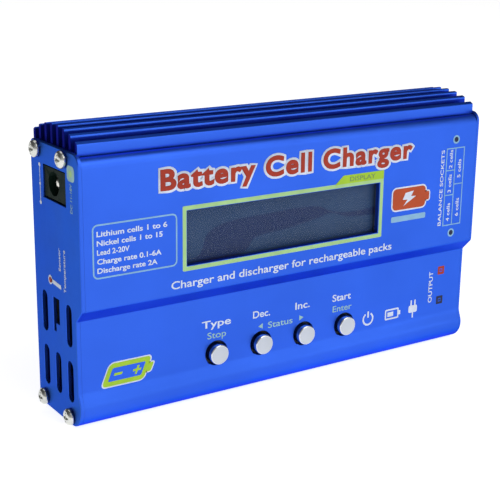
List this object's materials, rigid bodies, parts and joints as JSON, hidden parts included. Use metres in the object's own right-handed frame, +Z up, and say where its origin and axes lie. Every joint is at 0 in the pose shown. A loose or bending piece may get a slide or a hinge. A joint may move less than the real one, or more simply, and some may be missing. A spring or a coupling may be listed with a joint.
{
  "type": "balance battery charger",
  "caption": "Flat finned aluminium battery charger with a text display, push buttons, vented end plates, and balance and output sockets.",
  "frame": {"origin": "on the surface it stands on, under the middle of the whole charger with its rubber feet and screw heads", "axes": "+X from the power inlet end to the socket end, -Y out of the display face, +Z up towards the fins"},
  "size_m": [0.1366, 0.0316, 0.0791],
  "materials": {
    "anodised_aluminium": "satin blue anodised",
    "plated_steel": "bright zinc or nickel plate",
    "button_chrome": "satin chrome",
    "black_plastic": "moulded, fine grain",
    "white_nylon": "moulded nylon",
    "red_plastic": "moulded, semi-gloss",
    "clear_film": "thin clear film",
    "lcd_glass": "dark display behind a polariser",
    "circuit_board": "green solder mask",
    "copper_winding": "enamelled copper",
    "capacitor_sleeve": "shrunk sleeve",
    "rubber": "matt",
    "thermal_pad": "matt silicone"
  },
  "bodies": {
    "housing": {"front_case": "anodised_aluminium", "heatsink_case": "anodised_aluminium", "left_end_plate": "anodised_aluminium", "right_end_plate": "anodised_aluminium", "left_screw_lower_front": "plated_steel", "left_screw_lower_rear": "plated_steel", "left_screw_upper_front": "plated_steel", "left_screw_upper_rear": "plated_steel", "right_screw_lower_front": "plated_steel", "right_screw_lower_rear": "plated_steel", "right_screw_upper_front": "plated_steel", "right_screw_upper_rear": "plated_steel", "lcd_bezel": "plated_steel", "lcd_glass": "lcd_glass", "display_film": "clear_film", "lcd_board": "circuit_board", "lcd_header": "black_plastic", "switch_body_1": "black_plastic", "switch_body_2": "black_plastic", "switch_body_3": "black_plastic", "switch_body_4": "black_plastic", "dc_input_jack": "black_plastic", "sensor_socket": "black_plastic", "balance_socket_2s": "white_nylon", "balance_socket_3s": "white_nylon", "balance_socket_4s": "white_nylon", "balance_socket_5s": "white_nylon", "balance_socket_6s": "white_nylon", "balance_board": "circuit_board", "output_socket_red": "red_plastic", "output_socket_black": "black_plastic", "output_nut_red": "plated_steel", "output_nut_black": "plated_steel", "main_board": "circuit_board", "input_inductor": "copper_winding", "output_inductor": "copper_winding", "capacitor_1": "capacitor_sleeve", "capacitor_2": "capacitor_sleeve", "capacitor_3": "capacitor_sleeve", "microcontroller": "black_plastic", "buzzer": "black_plastic", "current_shunt": "copper_winding", "power_transistor_1": "black_plastic", "power_transistor_2": "black_plastic", "power_transistor_3": "black_plastic", "power_transistor_4": "black_plastic", "thermal_pad": "thermal_pad", "foot_lower_left": "rubber", "foot_lower_right": "rubber", "foot_upper_left": "rubber", "foot_upper_right": "rubber"},
    "key_1": {"button_1": "button_chrome", "switch_stem_1": "black_plastic"},
    "key_2": {"button_2": "button_chrome", "switch_stem_2": "black_plastic"},
    "key_3": {"button_3": "button_chrome", "switch_stem_3": "black_plastic"},
    "key_4": {"button_4": "button_chrome", "switch_stem_4": "black_plastic"}
  },
  "joints": [
    {"name": "press_key_1", "type": "slide", "parent": "housing", "child": "key_1", "axis": [0, 1, 0], "range_m": [0, 0.0005], "stiffness_N_per_m": 2000},
    {"name": "press_key_2", "type": "slide", "parent": "housing", "child": "key_2", "axis": [0, 1, 0], "range_m": [0, 0.0005], "stiffness_N_per_m": 2000},
    {"name": "press_key_3", "type": "slide", "parent": "housing", "child": "key_3", "axis": [0, 1, 0], "range_m": [0, 0.0005], "stiffness_N_per_m": 2000},
    {"name": "press_key_4", "type": "slide", "parent": "housing", "child": "key_4", "axis": [0, 1, 0], "range_m": [0, 0.0005], "stiffness_N_per_m": 2000}
  ]
}
